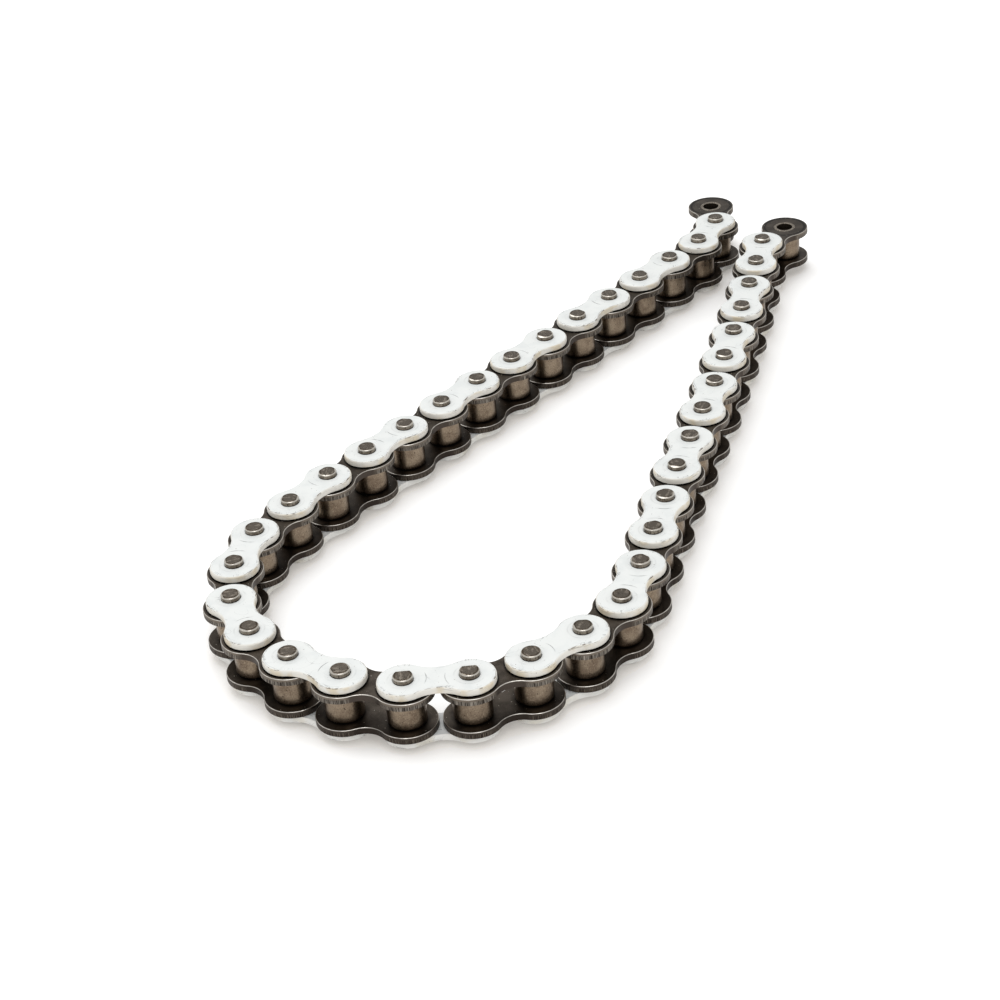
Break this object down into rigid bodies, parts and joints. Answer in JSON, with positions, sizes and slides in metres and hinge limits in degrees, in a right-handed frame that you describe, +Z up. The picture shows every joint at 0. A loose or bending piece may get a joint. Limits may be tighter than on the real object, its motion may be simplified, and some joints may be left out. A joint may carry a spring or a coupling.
{
  "type": "motorcycle drive chain",
  "caption": "Open length of roller chain for a small motorcycle, lying on its side: white outer links and dark inner links hinged on riveted pins, with turning rollers.",
  "frame": {"origin": "middle of the chain's footprint, on the plane that its lower pin ends stand on", "axes": "+Z up, along the pins; +Y from the front bend towards the chain's open end"},
  "size_m": [0.0956, 0.2346, 0.0148],
  "materials": {
    "white_paint": "satin white paint over steel, rubbed at the edges",
    "dark_steel": "dark brown-black heat-treated steel, satin",
    "roller_steel": "bronze-brown tempered steel, satin",
    "pin_steel": "grey steel, cut flat and riveted"
  },
  "bodies": {
    "inner_link_01": {"inner_link_01": "dark_steel"},
    "outer_link_01": {"outer_link_01": "white_paint"},
    "inner_link_02": {"inner_link_02": "dark_steel"},
    "outer_link_02": {"outer_link_02": "white_paint"},
    "inner_link_03": {"inner_link_03": "dark_steel"},
    "outer_link_03": {"outer_link_03": "white_paint"},
    "inner_link_04": {"inner_link_04": "dark_steel"},
    "outer_link_04": {"outer_link_04": "white_paint"},
    "inner_link_05": {"inner_link_05": "dark_steel"},
    "outer_link_05": {"outer_link_05": "white_paint"},
    "inner_link_06": {"inner_link_06": "dark_steel"},
    "outer_link_06": {"outer_link_06": "white_paint"},
    "inner_link_07": {"inner_link_07": "dark_steel"},
    "outer_link_07": {"outer_link_07": "white_paint"},
    "inner_link_08": {"inner_link_08": "dark_steel"},
    "outer_link_08": {"outer_link_08": "white_paint"},
    "inner_link_09": {"inner_link_09": "dark_steel"},
    "outer_link_09": {"outer_link_09": "white_paint"},
    "inner_link_10": {"inner_link_10": "dark_steel"},
    "outer_link_10": {"outer_link_10": "white_paint"},
    "inner_link_11": {"inner_link_11": "dark_steel"},
    "outer_link_11": {"outer_link_11": "white_paint"},
    "inner_link_12": {"inner_link_12": "dark_steel"},
    "outer_link_12": {"outer_link_12": "white_paint"},
    "inner_link_13": {"inner_link_13": "dark_steel"},
    "outer_link_13": {"outer_link_13": "white_paint"},
    "inner_link_14": {"inner_link_14": "dark_steel"},
    "outer_link_14": {"outer_link_14": "white_paint"},
    "inner_link_15": {"inner_link_15": "dark_steel"},
    "outer_link_15": {"outer_link_15": "white_paint"},
    "inner_link_16": {"inner_link_16": "dark_steel"},
    "outer_link_16": {"outer_link_16": "white_paint"},
    "inner_link_17": {"inner_link_17": "dark_steel"},
    "outer_link_17": {"outer_link_17": "white_paint"},
    "inner_link_18": {"inner_link_18": "dark_steel"},
    "outer_link_18": {"outer_link_18": "white_paint"},
    "inner_link_19": {"inner_link_19": "dark_steel"},
    "outer_link_19": {"outer_link_19": "white_paint"},
    "inner_link_20": {"inner_link_20": "dark_steel"},
    "roller_07_a": {"roller_07_a": "roller_steel"},
    "roller_07_b": {"roller_07_b": "roller_steel"},
    "roller_08_a": {"roller_08_a": "roller_steel"},
    "roller_08_b": {"roller_08_b": "roller_steel"},
    "roller_09_a": {"roller_09_a": "roller_steel"},
    "roller_09_b": {"roller_09_b": "roller_steel"},
    "roller_10_a": {"roller_10_a": "roller_steel"},
    "roller_10_b": {"roller_10_b": "roller_steel"},
    "roller_11_a": {"roller_11_a": "roller_steel"},
    "roller_11_b": {"roller_11_b": "roller_steel"},
    "roller_12_a": {"roller_12_a": "roller_steel"},
    "roller_12_b": {"roller_12_b": "roller_steel"},
    "roller_13_a": {"roller_13_a": "roller_steel"},
    "roller_13_b": {"roller_13_b": "roller_steel"},
    "roller_14_a": {"roller_14_a": "roller_steel"},
    "roller_14_b": {"roller_14_b": "roller_steel"},
    "roller_15_a": {"roller_15_a": "roller_steel"},
    "roller_15_b": {"roller_15_b": "roller_steel"},
    "roller_16_a": {"roller_16_a": "roller_steel"},
    "roller_16_b": {"roller_16_b": "roller_steel"}
  },
  "joints": [
    {"name": "pin_01", "type": "hinge", "parent": "outer_link_01", "child": "inner_link_01", "pos_m": [-0.00769, 0.1001, 0.00737], "axis": [0, 0, 1], "range_deg": [-60, 10]},
    {"name": "pin_02", "type": "hinge", "parent": "inner_link_02", "child": "outer_link_01", "pos_m": [-0.00725, 0.08741, 0.00737], "axis": [0, 0, 1], "range_deg": [-21, 21]},
    {"name": "pin_03", "type": "hinge", "parent": "outer_link_02", "child": "inner_link_02", "pos_m": [-0.01011, 0.07504, 0.00737], "axis": [0, 0, 1], "range_deg": [-10.5, 36]},
    {"name": "pin_04", "type": "hinge", "parent": "inner_link_03", "child": "outer_link_02", "pos_m": [-0.01296, 0.06266, 0.00737], "axis": [0, 0, 1], "range_deg": [-7, 36]},
    {"name": "pin_05", "type": "hinge", "parent": "outer_link_03", "child": "inner_link_03", "pos_m": [-0.01582, 0.05029, 0.00737], "axis": [0, 0, 1], "range_deg": [-5, 36]},
    {"name": "pin_06", "type": "hinge", "parent": "inner_link_04", "child": "outer_link_03", "pos_m": [-0.01868, 0.03791, 0.00737], "axis": [0, 0, 1], "range_deg": [-4, 36]},
    {"name": "pin_07", "type": "hinge", "parent": "outer_link_04", "child": "inner_link_04", "pos_m": [-0.02153, 0.02554, 0.00737], "axis": [0, 0, 1], "range_deg": [-3.5, 36]},
    {"name": "pin_08", "type": "hinge", "parent": "inner_link_05", "child": "outer_link_04", "pos_m": [-0.02439, 0.01316, 0.00737], "axis": [0, 0, -1], "range_deg": [-36, 3]},
    {"name": "pin_09", "type": "hinge", "parent": "outer_link_05", "child": "inner_link_05", "pos_m": [-0.02725, 0.00079, 0.00737], "axis": [0, 0, -1], "range_deg": [-36, 2.5]},
    {"name": "pin_10", "type": "hinge", "parent": "inner_link_06", "child": "outer_link_05", "pos_m": [-0.0301, -0.01158, 0.00737], "axis": [0, 0, 1], "range_deg": [-2, 36]},
    {"name": "pin_11", "type": "hinge", "parent": "outer_link_06", "child": "inner_link_06", "pos_m": [-0.03296, -0.02396, 0.00737], "axis": [0, 0, -1], "range_deg": [-36, 2]},
    {"name": "pin_12", "type": "hinge", "parent": "inner_link_07", "child": "outer_link_06", "pos_m": [-0.03582, -0.03633, 0.00737], "axis": [0, 0, 1], "range_deg": [-1.5, 36]},
    {"name": "pin_13", "type": "hinge", "parent": "outer_link_07", "child": "inner_link_07", "pos_m": [-0.03868, -0.04871, 0.00737], "axis": [0, 0, 1], "range_deg": [-1.5, 40]},
    {"name": "pin_14", "type": "hinge", "parent": "inner_link_08", "child": "outer_link_07", "pos_m": [-0.04066, -0.06125, 0.00737], "axis": [0, 0, 1], "range_deg": [-1.5, 40]},
    {"name": "pin_15", "type": "hinge", "parent": "outer_link_08", "child": "inner_link_08", "pos_m": [-0.04177, -0.0739, 0.00737], "axis": [0, 0, -1], "range_deg": [-54, 1.5]},
    {"name": "pin_16", "type": "hinge", "parent": "inner_link_09", "child": "outer_link_08", "pos_m": [-0.03891, -0.08628, 0.00737], "axis": [0, 0, -1], "range_deg": [-53, 1]},
    {"name": "pin_17", "type": "hinge", "parent": "outer_link_09", "child": "inner_link_09", "pos_m": [-0.03256, -0.09728, 0.00737], "axis": [0, 0, 1], "range_deg": [-1, 56]},
    {"name": "pin_18", "type": "hinge", "parent": "inner_link_10", "child": "outer_link_09", "pos_m": [-0.02283, -0.10544, 0.00737], "axis": [0, 0, 1], "range_deg": [-1, 55]},
    {"name": "pin_19", "type": "hinge", "parent": "outer_link_10", "child": "inner_link_10", "pos_m": [-0.01098, -0.10999, 0.00737], "axis": [0, 0, 1], "range_deg": [-1, 51]},
    {"name": "pin_20", "type": "hinge", "parent": "inner_link_11", "child": "outer_link_10", "pos_m": [0.00165, -0.11132, 0.00737], "axis": [0, 0, -1], "range_deg": [-53, 1]},
    {"name": "pin_21", "type": "hinge", "parent": "outer_link_11", "child": "inner_link_11", "pos_m": [0.01412, -0.1089, 0.00737], "axis": [0, 0, 1], "range_deg": [-1, 54]},
    {"name": "pin_22", "type": "hinge", "parent": "outer_link_11", "child": "inner_link_12", "pos_m": [0.02523, -0.10274, 0.00737], "axis": [0, 0, 1], "range_deg": [-56, 1]},
    {"name": "pin_23", "type": "hinge", "parent": "inner_link_12", "child": "outer_link_12", "pos_m": [0.03356, -0.09315, 0.00737], "axis": [0, 0, -1], "range_deg": [-1, 51]},
    {"name": "pin_24", "type": "hinge", "parent": "outer_link_12", "child": "inner_link_13", "pos_m": [0.03913, -0.08174, 0.00737], "axis": [0, 0, 1], "range_deg": [-50, 1]},
    {"name": "pin_25", "type": "hinge", "parent": "inner_link_13", "child": "outer_link_13", "pos_m": [0.04177, -0.06932, 0.00737], "axis": [0, 0, 1], "range_deg": [-55, 1]},
    {"name": "pin_26", "type": "hinge", "parent": "outer_link_13", "child": "inner_link_14", "pos_m": [0.04022, -0.05671, 0.00737], "axis": [0, 0, 1], "range_deg": [-41, 1.5]},
    {"name": "pin_27", "type": "hinge", "parent": "inner_link_14", "child": "outer_link_14", "pos_m": [0.03758, -0.04429, 0.00737], "axis": [0, 0, -1], "range_deg": [-1.5, 36]},
    {"name": "pin_28", "type": "hinge", "parent": "outer_link_14", "child": "inner_link_15", "pos_m": [0.03494, -0.03186, 0.00737], "axis": [0, 0, -1], "range_deg": [-1.5, 36]},
    {"name": "pin_29", "type": "hinge", "parent": "inner_link_15", "child": "outer_link_15", "pos_m": [0.0323, -0.01944, 0.00737], "axis": [0, 0, -1], "range_deg": [-2, 34]},
    {"name": "pin_30", "type": "hinge", "parent": "outer_link_15", "child": "inner_link_16", "pos_m": [0.03009, -0.00694, 0.00737], "axis": [0, 0, 1], "range_deg": [-36, 2]},
    {"name": "pin_31", "type": "hinge", "parent": "inner_link_16", "child": "outer_link_16", "pos_m": [0.02789, 0.00557, 0.00737], "axis": [0, 0, -1], "range_deg": [-2.5, 36]},
    {"name": "pin_32", "type": "hinge", "parent": "outer_link_16", "child": "inner_link_17", "pos_m": [0.02568, 0.01808, 0.00737], "axis": [0, 0, 1], "range_deg": [-38, 3]},
    {"name": "pin_33", "type": "hinge", "parent": "inner_link_17", "child": "outer_link_17", "pos_m": [0.02304, 0.0305, 0.00737], "axis": [0, 0, 1], "range_deg": [-36, 3.5]},
    {"name": "pin_34", "type": "hinge", "parent": "outer_link_17", "child": "inner_link_18", "pos_m": [0.0204, 0.04292, 0.00737], "axis": [0, 0, 1], "range_deg": [-37, 4.5]},
    {"name": "pin_35", "type": "hinge", "parent": "inner_link_18", "child": "outer_link_18", "pos_m": [0.01755, 0.0553, 0.00737], "axis": [0, 0, 1], "range_deg": [-36, 6]},
    {"name": "pin_36", "type": "hinge", "parent": "outer_link_18", "child": "inner_link_19", "pos_m": [0.01469, 0.06767, 0.00737], "axis": [0, 0, 1], "range_deg": [-37, 8]},
    {"name": "pin_37", "type": "hinge", "parent": "inner_link_19", "child": "outer_link_19", "pos_m": [0.01162, 0.07999, 0.00737], "axis": [0, 0, -1], "range_deg": [-13, 36]},
    {"name": "pin_38", "type": "hinge", "parent": "outer_link_19", "child": "inner_link_20", "pos_m": [0.00854, 0.09232, 0.00737], "axis": [0, 0, -1], "range_deg": [-27, 16]},
    {"name": "roller_07_a_spin", "type": "hinge", "parent": "inner_link_07", "child": "roller_07_a", "pos_m": [-0.03582, -0.03633, 0.00737], "axis": [0, 0, 1], "continuous": true},
    {"name": "roller_07_b_spin", "type": "hinge", "parent": "inner_link_07", "child": "roller_07_b", "pos_m": [-0.03868, -0.04871, 0.00737], "axis": [0, 0, 1], "continuous": true},
    {"name": "roller_08_a_spin", "type": "hinge", "parent": "inner_link_08", "child": "roller_08_a", "pos_m": [-0.04066, -0.06125, 0.00737], "axis": [0, 0, 1], "continuous": true},
    {"name": "roller_08_b_spin", "type": "hinge", "parent": "inner_link_08", "child": "roller_08_b", "pos_m": [-0.04177, -0.0739, 0.00737], "axis": [0, 0, 1], "continuous": true},
    {"name": "roller_09_a_spin", "type": "hinge", "parent": "inner_link_09", "child": "roller_09_a", "pos_m": [-0.03891, -0.08628, 0.00737], "axis": [0, 0, 1], "continuous": true},
    {"name": "roller_09_b_spin", "type": "hinge", "parent": "inner_link_09", "child": "roller_09_b", "pos_m": [-0.03256, -0.09728, 0.00737], "axis": [0, 0, 1], "continuous": true},
    {"name": "roller_10_a_spin", "type": "hinge", "parent": "inner_link_10", "child": "roller_10_a", "pos_m": [-0.02283, -0.10544, 0.00737], "axis": [0, 0, 1], "continuous": true},
    {"name": "roller_10_b_spin", "type": "hinge", "parent": "inner_link_10", "child": "roller_10_b", "pos_m": [-0.01098, -0.10999, 0.00737], "axis": [0, 0, 1], "continuous": true},
    {"name": "roller_11_a_spin", "type": "hinge", "parent": "inner_link_11", "child": "roller_11_a", "pos_m": [0.00165, -0.11132, 0.00737], "axis": [0, 0, 1], "continuous": true},
    {"name": "roller_11_b_spin", "type": "hinge", "parent": "inner_link_11", "child": "roller_11_b", "pos_m": [0.01412, -0.1089, 0.00737], "axis": [0, 0, 1], "continuous": true},
    {"name": "roller_12_a_spin", "type": "hinge", "parent": "inner_link_12", "child": "roller_12_a", "pos_m": [0.02523, -0.10274, 0.00737], "axis": [0, 0, 1], "continuous": true},
    {"name": "roller_12_b_spin", "type": "hinge", "parent": "inner_link_12", "child": "roller_12_b", "pos_m": [0.03356, -0.09315, 0.00737], "axis": [0, 0, 1], "continuous": true},
    {"name": "roller_13_a_spin", "type": "hinge", "parent": "inner_link_13", "child": "roller_13_a", "pos_m": [0.03913, -0.08174, 0.00737], "axis": [0, 0, 1], "continuous": true},
    {"name": "roller_13_b_spin", "type": "hinge", "parent": "inner_link_13", "child": "roller_13_b", "pos_m": [0.04177, -0.06932, 0.00737], "axis": [0, 0, 1], "continuous": true},
    {"name": "roller_14_a_spin", "type": "hinge", "parent": "inner_link_14", "child": "roller_14_a", "pos_m": [0.04022, -0.05671, 0.00737], "axis": [0, 0, 1], "continuous": true},
    {"name": "roller_14_b_spin", "type": "hinge", "parent": "inner_link_14", "child": "roller_14_b", "pos_m": [0.03758, -0.04429, 0.00737], "axis": [0, 0, 1], "continuous": true},
    {"name": "roller_15_a_spin", "type": "hinge", "parent": "inner_link_15", "child": "roller_15_a", "pos_m": [0.03494, -0.03186, 0.00737], "axis": [0, 0, 1], "continuous": true},
    {"name": "roller_15_b_spin", "type": "hinge", "parent": "inner_link_15", "child": "roller_15_b", "pos_m": [0.0323, -0.01944, 0.00737], "axis": [0, 0, 1], "continuous": true},
    {"name": "roller_16_a_spin", "type": "hinge", "parent": "inner_link_16", "child": "roller_16_a", "pos_m": [0.03009, -0.00694, 0.00737], "axis": [0, 0, 1], "continuous": true},
    {"name": "roller_16_b_spin", "type": "hinge", "parent": "inner_link_16", "child": "roller_16_b", "pos_m": [0.02789, 0.00557, 0.00737], "axis": [0, 0, 1], "continuous": true}
  ]
}
